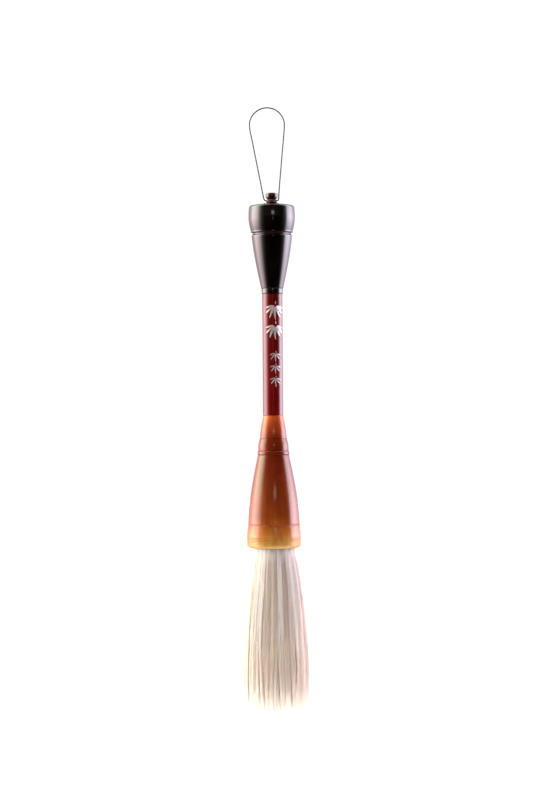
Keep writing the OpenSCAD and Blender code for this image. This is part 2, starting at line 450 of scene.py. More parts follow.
def makeTurningLines():
    # faint rings left by the lathe and polishing, as a height
    group, given, result = newGroup("TurningLines", [
        ("Pitch", "value", 0.0011), ("Unevenness", "value", 1.0)], [("Height", "value")])
    place = objectPlace(group)
    split = addNode(group, "SeparateXYZ")
    group.links.new(place, split.inputs[0])
    wander = noiseOf(group, place, {"Scale": 55.0, "Detail": 2.0})
    turns = math2(group, "DIVIDE", split.outputs["Z"], given.outputs["Pitch"])
    drift = math2(group, "MULTIPLY", wander, given.outputs["Unevenness"])
    phase = math2(group, "ADD", turns, drift)
    wave = math2(group, "SINE", math2(group, "MULTIPLY", phase, 2 * math.pi), 0.0)
    squeezed = timesColor(group, place, (8.0, 8.0, 900.0))
    flat = noiseOf(group, squeezed, {"Scale": 1.0, "Detail": 2.0})
    height = math2(group, "ADD", math2(group, "MULTIPLY", wave, 0.3), flat)
    group.links.new(height, result.inputs["Height"])
    return group


def makeHandling():
    # smudges and fine scratches from handling, as a roughness
    group, given, result = newGroup("Handling", [
        ("Polished", "value", 0.1), ("Worn", "value", 0.3), ("Smudge Size", "value", 90.0),
        ("Scratch Size", "value", 900.0)], [("Roughness", "value")])
    place = objectPlace(group)
    smudge = noiseOf(group, place, {"Detail": 4.0, "Roughness": 0.62},
                     given.outputs["Smudge Size"])
    tilt = addNode(group, "Mapping", {"Rotation": (0.5, 0.3, 0.2), "Scale": (1.0, 1.0, 0.06)})
    group.links.new(place, tilt.inputs["Vector"])
    scratch = noiseOf(group, tilt.outputs[0], {"Detail": 2.0, "Roughness": 0.7},
                      given.outputs["Scratch Size"])
    soft = remap(group, smudge, {"From Min": 0.45, "From Max": 0.75})
    thin = remap(group, scratch, {"From Min": 0.66, "From Max": 0.74})
    worn = math2(group, "MAXIMUM", math2(group, "MULTIPLY", soft, 0.6), thin)
    rough = between(group, worn, given.outputs["Polished"], given.outputs["Worn"])
    group.links.new(rough, result.inputs["Roughness"])
    return group


def makeAxisShare():
    # how far along the brush's axis a place lies, from 0 at the top height to 1 at the bottom
    group, given, result = newGroup("AxisShare", [
        ("Top", "value", 0.0), ("Bottom", "value", -1.0), ("Waver", "value", 0.0)],
        [("Share", "value")])
    links = group.links
    place = objectPlace(group)
    split = addNode(group, "SeparateXYZ")
    links.new(place, split.inputs[0])
    wander = noiseOf(group, place, {"Scale": 90.0, "Detail": 3.0})
    shift = math2(group, "MULTIPLY", math2(group, "SUBTRACT", wander, 0.5),
                  given.outputs["Waver"])
    share = addNode(group, "MapRange")
    links.new(math2(group, "ADD", split.outputs["Z"], shift), share.inputs[0])
    links.new(given.outputs["Top"], share.inputs[1])
    links.new(given.outputs["Bottom"], share.inputs[2])
    links.new(share.outputs[0], result.inputs["Share"])
    return group


streaks = makeStreaks()
axisShare = makeAxisShare()
turningLines = makeTurningLines()
handling = makeHandling()


def rampBetween(tree, value, stops):
    ramp = addNode(tree, "ValToRGB")
    elements = ramp.color_ramp.elements
    while len(elements) < len(stops):
        elements.new(0.5)
    for element, (position, color) in zip(elements, stops):
        element.position = position
        element.color = (*color, 1.0)
    tree.links.new(value, ramp.inputs[0])
    return ramp.outputs["Color"]


def mixColors(tree, factor, first, second):
    # first and second are sockets or plain colours
    node = addNode(tree, "Mix", data_type="RGBA")
    tree.links.new(factor, node.inputs[0])
    for index, value in ((6, first), (7, second)):
        if isinstance(value, tuple):
            node.inputs[index].default_value = (*value, 1)
        else:
            tree.links.new(value, node.inputs[index])
    return node.outputs[2]


def softStep(tree, value, low, high, first=0.0, last=1.0):
    node = addNode(tree, "MapRange", {"From Min": low, "From Max": high, "To Min": first,
                                      "To Max": last}, interpolation_type="SMOOTHSTEP")
    tree.links.new(value, node.inputs[0])
    return node.outputs[0]


def addBump(tree, shader, height, strength, distance):
    bump = addNode(tree, "Bump", {"Strength": strength, "Distance": distance})
    tree.links.new(height, bump.inputs["Height"])
    tree.links.new(bump.outputs[0], shader.inputs["Normal"])


def polishedMaterial(name, setup):
    # turned and polished horn, wood or lacquer
    material, tree, shader = newMaterial(name, setup["shader"])
    figure = placeGroup(tree, streaks, setup["streaks"])
    color = rampBetween(tree, figure.outputs["Value"], setup["colors"])
    if "zones" in setup:    # the colour also changes along the axis
        zones = setup["zones"]
        top, bottom = zones[0][0], zones[-1][0]
        share = placeGroup(tree, axisShare, {"Top": top, "Bottom": bottom, "Waver": 0.004})
        stops = [((height - top) / (bottom - top), tint) for height, tint in zones]
        color = timesColor(tree, color, rampBetween(tree, share.outputs["Share"], stops))
    tree.links.new(color, shader.inputs["Base Color"])
    worn = placeGroup(tree, handling, setup["handling"])
    tree.links.new(worn.outputs["Roughness"], shader.inputs["Roughness"])
    lines = placeGroup(tree, turningLines, setup["turning"])
    addBump(tree, shader, lines.outputs["Height"], setup["bump"], 0.02 * mm)
    return material


blackHornLook = {
    "shader": {"IOR": 1.5},
    "streaks": {"Across": 260.0, "Along": 14.0, "Clouds": 45.0, "Cloud Share": 0.5},
    "colors": [(0.0, (0.0008, 0.0004, 0.0004)), (0.6, (0.0018, 0.0009, 0.0008)),
               (1.0, (0.0060, 0.0026, 0.0020))],
    "handling": {"Polished": 0.08, "Worn": 0.17, "Smudge Size": 70.0, "Scratch Size": 1200.0},
    "turning": {"Pitch": 0.0013, "Unevenness": 1.0},
    "bump": 0.08,
}
darkHornLook = {
    "shader": {"IOR": 1.5},
    "streaks": {"Across": 420.0, "Along": 40.0, "Clouds": 120.0, "Cloud Share": 0.5},
    "colors": [(0.0, (0.007, 0.0018, 0.0015)), (0.6, (0.024, 0.0055, 0.0042)),
               (1.0, (0.060, 0.016, 0.011))],
    "handling": {"Polished": 0.10, "Worn": 0.22, "Smudge Size": 160.0, "Scratch Size": 1500.0},
    "turning": {"Pitch": 0.0008, "Unevenness": 0.8},
    "bump": 0.25,
}
lacquerLook = {
    "shader": {"IOR": 1.40},
    "streaks": {"Across": 900.0, "Along": 9.0, "Clouds": 30.0, "Cloud Share": 0.35},
    "colors": [(0.0, (0.046, 0.0008, 0.0008)), (0.5, (0.086, 0.0017, 0.0013)),
               (1.0, (0.142, 0.0046, 0.0032))],
    "handling": {"Polished": 0.10, "Worn": 0.20, "Smudge Size": 80.0, "Scratch Size": 1300.0},
    "turning": {"Pitch": 0.0021, "Unevenness": 1.2},
    "bump": 0.12,
}
ferruleTop = topOf("ferrule_collar")
cupTop = topOf("ferrule_cup")
lineTop = topOf("rim_line")
rimTop = topOf("ferrule_rim")
rimLow = lowOf("ferrule_rim")
brownHornLook = {
    "shader": {"IOR": 1.42, "Specular Tint": (1.0, 0.86, 0.70, 1.0),
               "Subsurface Weight": 0.06, "Subsurface Scale": 0.004,
               "Subsurface Radius": (1.0, 0.35, 0.1)},
    "streaks": {"Across": 210.0, "Along": 11.0, "Clouds": 34.0, "Cloud Share": 0.55},
    "colors": [(0.0, (0.75, 0.62, 0.55)), (0.5, (1.15, 1.15, 1.12)), (1.0, (1.7, 2.00, 2.10))],
    "zones": [(ferruleTop, (0.330, 0.062, 0.012)), (ferruleTop - 0.010, (0.225, 0.030, 0.005)),
              (ferruleTop - 0.020, (0.115, 0.0115, 0.0028)),
              (cupTop - 0.006, (0.092, 0.0082, 0.0018)),
              (cupTop - 0.030, (0.106, 0.0150, 0.0024)),
              (lineTop + 0.008, (0.140, 0.025, 0.0032)),
              (lineTop, (0.200, 0.045, 0.007))],
    "handling": {"Polished": 0.09, "Worn": 0.18, "Smudge Size": 60.0, "Scratch Size": 1100.0},
    "turning": {"Pitch": 0.0012, "Unevenness": 1.2},
    "bump": 0.1,
}
amberHornLook = {
    "shader": {"IOR": 1.42, "Specular Tint": (1.0, 0.88, 0.72, 1.0),
               "Subsurface Weight": 0.1, "Subsurface Scale": 0.005,
               "Subsurface Radius": (1.0, 0.5, 0.15)},
    "streaks": {"Across": 160.0, "Along": 26.0, "Clouds": 60.0, "Cloud Share": 0.5},
    "colors": [(0.0, (0.70, 0.62, 0.52)), (0.5, (1.0, 1.0, 0.98)), (1.0, (1.35, 1.55, 1.70))],
    "zones": [(rimTop, (0.230, 0.052, 0.009)), (rimTop - 0.006, (0.290, 0.090, 0.014)),
              (rimTop - 0.013, (0.350, 0.165, 0.036)), (rimLow, (0.440, 0.255, 0.085))],
    "handling": {"Polished": 0.12, "Worn": 0.24, "Smudge Size": 80.0, "Scratch Size": 1100.0},
    "turning": {"Pitch": 0.0009, "Unevenness": 0.8},
    "bump": 0.3,
}
darkLineLook = {
    "shader": {"IOR": 1.5},
    "streaks": {"Across": 500.0, "Along": 60.0, "Clouds": 200.0, "Cloud Share": 0.5},
    "colors": [(0.0, (0.130, 0.030, 0.006)), (1.0, (0.260, 0.080, 0.018))],
    "handling": {"Polished": 0.3, "Worn": 0.5, "Smudge Size": 200.0, "Scratch Size": 1500.0},
    "turning": {"Pitch": 0.0006, "Unevenness": 0.8},
    "bump": 0.2,
}
plainWoodLook = {
    "shader": {"IOR": 1.45},
    "streaks": {"Across": 900.0, "Along": 25.0, "Clouds": 90.0, "Cloud Share": 0.25},
    "colors": [(0.0, (0.360, 0.200, 0.090)), (0.5, (0.560, 0.370, 0.190)),
               (1.0, (0.700, 0.520, 0.310))],
    "handling": {"Polished": 0.5, "Worn": 0.8, "Smudge Size": 200.0, "Scratch Size": 1500.0},
    "turning": {"Pitch": 0.0007, "Unevenness": 1.0},
    "bump": 0.5,
}
resinLook = {
    "shader": {"IOR": 1.5},
    "streaks": {"Across": 200.0, "Along": 200.0, "Clouds": 150.0, "Cloud Share": 0.8},
    "colors": [(0.0, (0.060, 0.022, 0.005)), (1.0, (0.260, 0.120, 0.030))],
    "handling": {"Polished": 0.2, "Worn": 0.5, "Smudge Size": 200.0, "Scratch Size": 900.0},
    "turning": {"Pitch": 0.002, "Unevenness": 3.0},
    "bump": 0.5,
}

blackHorn = polishedMaterial("blackHorn", blackHornLook)
darkHorn = polishedMaterial("darkHorn", darkHornLook)
redLacquer = polishedMaterial("redLacquer", lacquerLook)
brownHorn = polishedMaterial("brownHorn", brownHornLook)
amberHorn = polishedMaterial("amberHorn", amberHornLook)
darkLine = polishedMaterial("darkLine", darkLineLook)
plainWood = polishedMaterial("plainWood", plainWoodLook)
resin = polishedMaterial("resin", resinLook)


def makeCordMaterial(name, dark, light, fuzz):
    # twisted fibres: fine lines across the lay, darker in places, rougher where handled
    material, tree, shader = newMaterial(name, {"IOR": 1.45, "Sheen Weight": fuzz,
                                                "Sheen Roughness": 0.5})
    fibre = placeGroup(tree, streaks, {"Across": 3200.0, "Along": 2600.0, "Clouds": 180.0,
                                       "Cloud Share": 0.4})
    color = rampBetween(tree, fibre.outputs["Value"], [(0.0, dark), (1.0, light)])
    tree.links.new(color, shader.inputs["Base Color"])
    worn = placeGroup(tree, handling, {"Polished": 0.45, "Worn": 0.8, "Smudge Size": 150.0,
                                       "Scratch Size": 3000.0})
    tree.links.new(worn.outputs["Roughness"], shader.inputs["Roughness"])
    addBump(tree, shader, fibre.outputs["Value"], 0.6, 0.05 * mm)
    return material


cordFibre = makeCordMaterial("cordFibre", (0.016, 0.008, 0.006), (0.095, 0.050, 0.040), 0.04)
threadFibre = makeCordMaterial("threadFibre", (0.200, 0.016, 0.008), (0.520, 0.080, 0.050), 0.3)


def makeSilver():
    # silver paint rubbed into the cuts: rough, broken in places
    material, tree, shader = newMaterial("silverFill", {"IOR": 1.45})
    grain = placeGroup(tree, streaks, {"Across": 2600.0, "Along": 1500.0, "Clouds": 700.0,
                                       "Cloud Share": 0.6})
    color = rampBetween(tree, grain.outputs["Value"], [
        (0.0, (0.150, 0.070, 0.070)), (0.3, (0.420, 0.360, 0.360)), (1.0, (0.720, 0.680, 0.680))])
    tree.links.new(color, shader.inputs["Base Color"])
    worn = placeGroup(tree, handling, {"Polished": 0.30, "Worn": 0.62, "Smudge Size": 500.0,
                                       "Scratch Size": 2600.0})
    tree.links.new(worn.outputs["Roughness"], shader.inputs["Roughness"])
    metal = remap(tree, grain.outputs["Value"], {"From Min": 0.1, "From Max": 0.5, "To Max": 0.55})
    tree.links.new(metal, shader.inputs["Metallic"])
    addBump(tree, shader, grain.outputs["Value"], 0.7, 0.06 * mm)
    return material


silverFill = makeSilver()
print("materials: horn, lacquer, wood, cord and silver")

for piece in (cordLoop, cordNoose, cordKnot):
    piece.data.materials.append(cordFibre)


# ---- turned parts
pegBore = 3.55 * mm     # radii of the bores and sockets inside them
dowelBore = 5.05 * mm
socketBore = 18.6 * mm
mouthBore = 19.6 * mm


def arc(radius, height, size, fromDegrees, toDegrees, steps=6):
    points = []
    for i in range(steps + 1):
        a = math.radians(mix(fromDegrees, toDegrees, i / steps))
        points.append((radius + size * math.cos(a), height + size * math.sin(a)))
    return points


def buttonOutline():
    radius = radiusOf("finial_button")
    top = topOf("finial_button")
    tailTop = topOf("tail_head")
    neck = 3.55 * mm
    peg = 2.6 * mm
    under = top - 6.1 * mm
    return ([(0.0, top - 0.25 * mm), (radius - 2.6 * mm, top - 0.1 * mm)]
            + arc(radius - 1.9 * mm, top - 0.5 * mm, 0.5 * mm, 100, 40, 4)
            + arc(radius - 1.3 * mm, top - 1.55 * mm, 1.3 * mm, 60, 0, 8)
            + arc(radius - 2.9 * mm, top - 2.9 * mm, 2.9 * mm, 0, -48, 10)
            + arc(neck + 1.0 * mm, under - 0.1 * mm, 1.0 * mm, 130, 180, 6)
            + [(neck, tailTop + 1.2 * mm)]
            + arc(neck + 0.9 * mm, tailTop + 0.9 * mm, 0.9 * mm, 180, 262, 8)
            + [(peg, tailTop - 0.01 * mm), (peg, tailTop - 14 * mm), (0.0, tailTop - 14 * mm)])


def headOutline():
    top, low, radius = spanOf("tail_head")
    radius = radius + 0.25 * mm
    widest = top - 12.4 * mm
    edge = 2.1 * mm
    shoulder = radius - 0.45 * mm
    dome = [(mix(2.65 * mm, shoulder - edge, t / 6), top - 1.9 * mm * (t / 6) ** 2.2)
            for t in range(7)]
    barrel = [(mix(shoulder, radius, 1 - (1 - t / 12) ** 2),
               mix(top - 1.9 * mm - edge, widest, t / 12)) for t in range(1, 13)]
    curve = [(radius - 1.95 * mm * (t / 20) ** 1.7, mix(widest, low + 1.5 * mm, t / 20))
             for t in range(1, 21)]
    foot = radius - 1.95 * mm
    return (dome + arc(shoulder - edge, top - 1.9 * mm - edge, edge, 85, 3, 10) + barrel + curve
            + arc(foot - 0.9 * mm, low + 0.95 * mm, 0.95 * mm, 12, -90, 8)
            + [(pegBore, low), (pegBore, low + 10 * mm), (2.65 * mm, low + 11 * mm)])


def spacerOutline():
    top, low, radius = spanOf("tail_spacer")
    hollow = [(radius - 0.25 * mm * math.sin(math.pi * t / 6), mix(top, low, t / 6))
              for t in range(7)]
    return [(pegBore, top)] + hollow + [(pegBore, low)]


def coneOutline():
    top, low, waist = spanOf("tail_cone")
    end = 9.6 * mm
    shoulder = 1.2 * mm
    curve = [(mix(end, waist, bow(t / 40, 0.4)), mix(top - shoulder, low + 0.35 * mm, t / 40))
             for t in range(1, 41)]
    return ([(pegBore, top)] + arc(waist - shoulder, top - shoulder, shoulder, 90, 0, 8)
            + curve + [(end - 0.35 * mm, low), (dowelBore, low), (dowelBore, low + 16 * mm)])


def tailCollarOutline():
    top, low, radius = spanOf("tail_collar")
    return ([(dowelBore, top), (radius - 0.45 * mm, top)]
            + arc(radius - 0.35 * mm, top - 0.35 * mm, 0.35 * mm, 90, 0, 4)
            + arc(radius - 0.45 * mm, low + 0.4 * mm, 0.35 * mm, 0, -90, 4)
            + [(dowelBore, low)])


def shaftOutline():
    top, low, radius = spanOf("shaft")
    wall = [(radius, mix(top - 0.4 * mm, low + 0.4 * mm, t / 30)) for t in range(31)]
    return ([(dowelBore, top), (radius - 0.35 * mm, top)]
            + arc(radius - 0.3 * mm, top - 0.3 * mm, 0.3 * mm, 80, 0, 3) + wall
            + arc(radius - 0.3 * mm, low + 0.3 * mm, 0.3 * mm, 0, -80, 3)
            + [(radius - 0.35 * mm, low), (dowelBore, low)])


def collarOutline():
    top, low, end = spanOf("ferrule_collar")
    start = 8.7 * mm
    curve = [(mix(start, end, flare(t / 24, 75)), mix(top - 0.5 * mm, low + 0.45 * mm, t / 24))
             for t in range(25)]
    return ([(dowelBore, top), (start - 0.4 * mm, top), (start - 0.12 * mm, top - 0.1 * mm)]
            + curve
            + [(end - 0.07 * mm, low + 0.06 * mm), (end - 0.3 * mm, low), (dowelBore, low)])


def bandOutline():
    top = topOf("ferrule_band")
    low = lowOf("ferrule_band")
    start = 11.9 * mm
    end = 13.1 * mm
    curve = [(mix(start, end, t / 24) + 0.5 * mm * math.sin(math.pi * t / 24),
              mix(top - 0.25 * mm, low + 0.25 * mm, t / 24)) for t in range(25)]
    return ([(dowelBore, top), (start - 0.3 * mm, top), (start - 0.07 * mm, top - 0.06 * mm)]
            + curve
            + [(end - 0.07 * mm, low + 0.06 * mm), (end - 0.3 * mm, low), (dowelBore, low)])


def ringOutline():
    top, low, radius = spanOf("ferrule_ring")
    radius = radius - 0.1 * mm
    edge = 0.75 * mm
    return ([(dowelBore, top), (radius - edge - 0.25 * mm, top)]
            + arc(radius - edge, top - edge, edge, 85, 4, 7)
            + [(radius + 0.03 * mm, (top + low) / 2)]
            + arc(radius - edge, low + edge, edge, -4, -85, 7)
            + [(radius - edge - 0.25 * mm, low), (dowelBore, low)])


def cupOutline():
    top, low, end = spanOf("ferrule_cup")
    start = 13.6 * mm
    curve = [(mix(start, end, flare(t / 48, 82)), mix(top - 0.35 * mm, low + 0.12 * mm, t / 48))
             for t in range(49)]
    return ([(dowelBore, top), (start - 0.35 * mm, top), (start - 0.1 * mm, top - 0.1 * mm)]
            + curve + [(end - 0.04 * mm, low + 0.04 * mm), (end - 0.2 * mm, low),
                       (socketBore, low), (socketBore, low + 16.2 * mm),
                       (dowelBore, low + 37.5 * mm)])


def lineOutline():
    top, low, radius = spanOf("rim_line")
    return [(mouthBore, top), (radius - 0.12 * mm, top), (radius - 0.04 * mm, mix(top, low, 0.1)),
            (radius, mix(top, low, 0.5)), (radius - 0.02 * mm, mix(top, low, 0.9)),
            (radius - 0.1 * mm, low), (mouthBore, low)]


def rimOutline():
    top, low, end = spanOf("ferrule_rim")
    start = radiusOf("ferrule_cup")
    lip = 3.0 * mm
    inner = 1.2 * mm
    pitch = 1.3 * mm
    grooves = 5
    groovedTop = low + lip + pitch * grooves
    upper = [(mix(start, end, flare(t / 14, 80)), mix(top - 0.12 * mm, groovedTop, t / 14))
             for t in range(15)]
    ridged = []
    for i in range(grooves * 10):   # softly rounded ridges with narrow valleys
        phase = (i % 10) / 10
        depth = 0.30 * mm * max(0.0, math.cos(2 * math.pi * (phase - 0.5))) ** 3
        ridged.append((end - depth, groovedTop - pitch * (i / 10)))
    return ([(mouthBore, top), (start - 0.2 * mm, top), (start - 0.04 * mm, top - 0.04 * mm)]
            + upper + ridged[1:] + arc(end - lip, low + lip, lip, 0, -90, 12)
            + arc(mouthBore + inner, low + inner, inner, -90, -180, 6))


turnedParts = [
    # piece, CAD node, outline, material, slot
    ("finialButton", "finial_button", buttonOutline, darkHorn, "dark_horn"),
    ("tailHead", "tail_head", headOutline, blackHorn, "black_horn"),
    ("tailSpacer", "tail_spacer", spacerOutline, darkHorn, "dark_horn"),
    ("tailCone", "tail_cone", coneOutline, blackHorn, "black_horn"),
    ("tailCollar", "tail_collar", tailCollarOutline, blackHorn, "black_horn"),
    ("lacquerShaft", "shaft", shaftOutline, redLacquer, "red_lacquer"),
    ("ferruleCollar", "ferrule_collar", collarOutline, brownHorn, "brown_horn"),
    ("ferruleBand", "ferrule_band", bandOutline, brownHorn, "brown_horn"),
    ("ferruleRing", "ferrule_ring", ringOutline, brownHorn, "brown_horn"),
    ("ferruleCup", "ferrule_cup", cupOutline, brownHorn, "brown_horn"),
    ("rimLine", "rim_line", lineOutline, darkLine, "dark_line"),
    ("ferruleRim", "ferrule_rim", rimOutline, amberHorn, "amber_horn"),
]
for name, node, outline, material, slotName in turnedParts:
    piece = turnMesh(name, outline())
    piece.data.materials.append(material)
    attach(piece, "handle")
    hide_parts(node)
print("turned parts:", len(turnedParts))


# ---- leaf sprays let into the shaft
leafSetup = {
    "turn": 17,             # degrees from the front, to the right
    "spread": 150,
    "sprays": [(10, 12, 7), (27, 12, 7), (51, 6.8, 5), (61.5, 6.8, 5), (72, 6.8, 5)],
    "proud": 0.05 * mm,
    "crown": 0.05 * mm,
    "root": 0.12 * mm,
    "gap": 0.08,            # shares of a spray's size: its open middle,
    "stem": (0.22, 0.07),   # length and width of its stem
    "leaf": (0.6, 0.35),    # and length of a leaf, plus what the upright ones have more
    "slim": 0.17,           # width of a leaf as a share of its length
}


def leafShape(centreX, centreZ, angle, start, length, width, radius, setup):
    # one leaf wrapped on the shaft: flat outline first, then bent round the axis
    steps = 12
    across = (-1.0, -0.55, 0.0, 0.55, 1.0)
    direction = (math.sin(angle), math.cos(angle))
    tops = []
    roots = []
    for i in range(steps + 1):
        t = i / steps
        half = width / 2 * math.sin(math.pi * t ** 0.82) ** 0.8 + 0.015 * mm
        sway = 0.05 * length * math.sin(math.pi * t)
        for u in across:
            along = start + length * t
            off = u * half + sway
            x = centreX + direction[0] * along + direction[1] * off
            z = centreZ + direction[1] * along - direction[0] * off
            a = math.radians(-90 + setup["turn"]) + x / radius
            r = radius + setup["proud"] * 0.4
            r = r + (setup["proud"] * 0.6 + setup["crown"]) * (1 - u * u)
            tops.append(Vector((r * math.cos(a), r * math.sin(a), z)))
            deep = radius - setup["root"]
            roots.append(Vector((deep * math.cos(a), deep * math.sin(a), z)))
    columns = len(across)
    count = len(tops)
    faces = []
    for i in range(steps):
        for k in range(columns - 1):
            a, b = i * columns + k, (i + 1) * columns + k
            faces.append([a, a + 1, b + 1, b])
            faces.append([count + a, count + b, count + b + 1, count + a + 1])
        for k, flip in ((0, True), (columns - 1, False)):
            a, b = i * columns + k, (i + 1) * columns + k
            wall = [a, b, count + b, count + a]
            faces.append(wall if flip else wall[::-1])
    for i, flip in ((0, False), (steps, True)):
        for k in range(columns - 1):
            a = i * columns + k
            wall = [a, count + a, count + a + 1, a + 1]
            faces.append(wall if not flip else wall[::-1])
    return tops + roots, faces


def makeLeaves(setup):
    radius = radiusOf("shaft")
    top = topOf("shaft")
    shortest, gain = setup["leaf"]
    shapes = []
    for drop, size, leaves in setup["sprays"]:
        centreZ = top - drop * mm
        gap = setup["gap"] * size
        long, wide = setup["stem"]
        shapes.append(leafShape(0.0, centreZ, 0.0, gap * mm, long * size * mm,
                                wide * size * mm, radius, setup))
        for i in range(leaves):
            turn = math.radians(setup["spread"] * (i / (leaves - 1) - 0.5))
            length = size * (shortest + gain * math.cos(turn))
            shapes.append(leafShape(0.0, centreZ, math.pi - turn, gap * mm, length * mm,
                                    setup["slim"] * length * mm, radius, setup))
    return joinShapes("leafSprays", shapes, 50)


leafSprays = makeLeaves(leafSetup)
leafSprays.data.materials.append(silverFill)
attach(leafSprays, "handle")
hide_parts("leaf_inlay")
print("leaf sprays on the shaft")


# ---- hair
hairSetup = {
    "seed": 41,
    "locks": 110,           # locks a few millimetres wide
    "bunches": 620,         # small bunches within the locks
    "outer": 12000,         # strands in the outer layers
    "inner": 5200,          # strands inside, seen at the tips and from below
    "stray": 300,           # loose single hairs
    "rings": 11,
    "thickness": 0.15 * mm,
    "innerThicker": 1.35,   # shares of that thickness
    "strayThinner": 0.4,
    "outerSquare": (0.68, 1.0),     # square of the share of the radius where strands start
    "innerSquare": (0.0, 0.72),
    "length": 0.915,        # shares of the free length: of the outermost strands,
    "centreLonger": 0.19,   # what those in the middle have more,
    "lengthSpread": (0.005, 0.02),  # mean and width of the scatter,
    "early": 0.07,          # what hairs that end early lose on average,
    "lengthLimits": (0.45, 1.0),
    "lockLength": 0.6,      # and how much a lock's own length counts
    "lockDraw": 0.17,       # how far a strand draws in to its lock by the tip
    "bunchDraw": 0.38,      # and to its bunch
    "drawPower": 2.0,
    "wave": 1.5,            # degrees that a lock wanders round the tuft
    "bunchWave": 0.45,      # share of that for a bunch
    "frizz": 0.008,         # radians, of single hairs
    "swell": 0.045,         # how much thicker or thinner the tuft is at a lock
    "toneShares": (0.6, 0.28, 0.12),    # of the lock, the bunch and the single hair
    "rootDepth": 11 * mm,   # how far the strands start inside the mouth
    "strayLeft": 0.6,       # share of the loose hairs that stand off on the left
    "strayLength": (0.74, 0.97),
    "strayReach": (8.0, 2.0),   # mm, on the left and elsewhere
    "strayTone": 0.9,
}
mouthZ = lowOf("ferrule_rim")
hairTip = lowOf("hair_core")
freeLength = mouthZ - hairTip
bellyRadius = radiusOf("hair_mantle")
# outer radius of the tuft against the share of its length, for a belly of 29.2 mm
tuftShape = [(-0.1, 17.4), (0.0, 18.4), (0.06, 20.0), (0.15, 22.6), (0.29, 25.8), (0.45, 28.2),
             (0.6, 29.4), (0.76, 30.0), (0.9, 29.6), (1.0, 28.2), (1.1, 26.0)]
shapeShare = [p[0] for p in tuftShape]
shapeRadius = [p[1] * mm * bellyRadius / (29.2 * mm) for p in tuftShape]


def tuftRadius(share):
    return np.interp(share, shapeShare, shapeRadius)


def scatterCentres(rng, count):
    # points spread evenly over a unit disc, with a little disorder
    index = np.arange(count)
    angle = index * math.pi * (3 - math.sqrt(5)) + rng.uniform(-0.25, 0.25, count)
    reach = np.sqrt((index + 0.5) / count)
    return np.stack([reach * np.cos(angle), reach * np.sin(angle)], axis=1)


def nearest(places, centres, rng, blur):
    gap = ((places[:, None, :] - centres[None, :, :]) ** 2).sum(2)
    return (gap + rng.uniform(0, blur, gap.shape)).argmin(1)


def makeLocks(setup, rng):
    locks = {"centres": scatterCentres(rng, setup["locks"])}
    bunches = {"centres": scatterCentres(rng, setup["bunches"])}
    for group, count in ((locks, setup["locks"]), (bunches, setup["bunches"])):
        group["phase"] = rng.uniform(0, 2 * math.pi, count)
        group["turns"] = rng.uniform(0.45, 1.1, count)
        group["lean"] = rng.normal(0, 0.012, count)
        group["length"] = rng.normal(0, 0.02, count)
        group["tone"] = rng.uniform(0, 1, count)
    return locks, bunches


def growStrands(setup, rng, locks, bunches, count, inner):
    # the centrelines of many strands, each drawn in towards its bunch and its lock
    angle = rng.uniform(0, 2 * math.pi, count)
    least, most = setup["innerSquare"] if inner else setup["outerSquare"]
    square = rng.uniform(least, most, count)
    reach = np.sqrt(square)
    places = np.stack([reach * np.cos(angle), reach * np.sin(angle)], axis=1)
    bunch = nearest(places, bunches["centres"], rng, 0.002)
    lock = nearest(bunches["centres"], locks["centres"], rng, 0.01)[bunch]
    length = setup["length"] + setup["centreLonger"] * (1 - square) + bunches["length"][bunch]
    length = length + locks["length"][lock] * setup["lockLength"]
    length += rng.normal(*setup["lengthSpread"], count) - rng.exponential(setup["early"], count)
    length = np.clip(length, *setup["lengthLimits"])
    rings = setup["rings"]
    share = np.linspace(0, 1, rings) ** 0.9
    start = -setup["rootDepth"] / freeLength
    down = start + (length[:, None] - start) * share
    grown = np.clip(down, 0, 1)[:, :, None]
    power = setup["drawPower"]
    toBunch = setup["bunchDraw"] * rng.uniform(0.7, 1.25, count)[:, None, None] * grown ** power
    toLock = setup["lockDraw"] * rng.uniform(0.6, 1.2, count)[:, None, None] * grown ** power
    flat = places[:, None, :] * np.ones((1, rings, 1))
    flat = flat + (bunches["centres"][bunch][:, None, :] - flat) * toBunch
    flat = flat + (locks["centres"][lock][:, None, :] - flat) * toLock * 0.6
    wander = np.radians(setup["wave"]) * np.sin(
        locks["phase"][lock][:, None] + down * locks["turns"][lock][:, None] * 2 * math.pi)
    wander = wander + np.radians(setup["wave"] * setup["bunchWave"]) * np.sin(
        bunches["phase"][bunch][:, None] + down * bunches["turns"][bunch][:, None] * 9)
    wander = wander + (locks["lean"][lock] + bunches["lean"][bunch])[:, None] * down
    wander = wander + rng.normal(0, setup["frizz"], count)[:, None] * np.sin(
        down * rng.uniform(3, 9, count)[:, None] + rng.uniform(0, 6.28, count)[:, None])
    wander = wander * np.clip(down * 2.5, 0, 1)
    c, s = np.cos(wander), np.sin(wander)
    thicker = setup["swell"] * np.sin(locks["phase"][lock] * 3)[:, None]
    swell = 1 + thicker * np.clip(down, 0, 1)
    radius = tuftRadius(down) * swell
    points = np.empty((count, rings, 3))
    points[:, :, 0] = (flat[:, :, 0] * c - flat[:, :, 1] * s) * radius
    points[:, :, 1] = (flat[:, :, 0] * s + flat[:, :, 1] * c) * radius
    points[:, :, 2] = mouthZ - down * freeLength
    ofLock, ofBunch, ofHair = setup["toneShares"]
    tone = locks["tone"][lock] * ofLock + bunches["tone"][bunch] * ofBunch
    tone = tone + rng.uniform(0, ofHair, count)
    return points, np.repeat(tone[:, None], rings, 1), np.clip(down, 0, 1)


